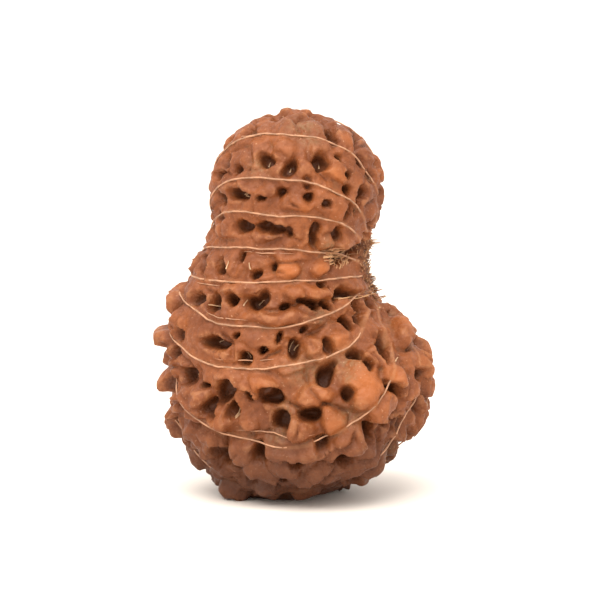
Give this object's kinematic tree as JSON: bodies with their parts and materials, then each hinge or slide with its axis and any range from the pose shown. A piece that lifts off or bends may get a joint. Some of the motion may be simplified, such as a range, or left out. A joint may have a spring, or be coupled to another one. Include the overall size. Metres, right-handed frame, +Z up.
{
  "type": "rudraksha seed",
  "caption": "Gourd-shaped rudraksha seed with warty, deeply pitted skin, thin raised sutures and a fibrous stalk scar in its side notch, standing on its larger lobe.",
  "frame": {"origin": "middle of the box round the seed, at the surface that it stands on", "axes": "+Z up from the larger lobe to the smaller one, +X towards the side with the notch and the stalk scar, -Y towards the front"},
  "size_m": [0.023, 0.0202, 0.0318],
  "materials": {
    "seed": "waxy satin red-brown, darker in the pits"
  },
  "bodies": {
    "root": {"rudraksha_seed": "seed"}
  },
  "joints": []
}
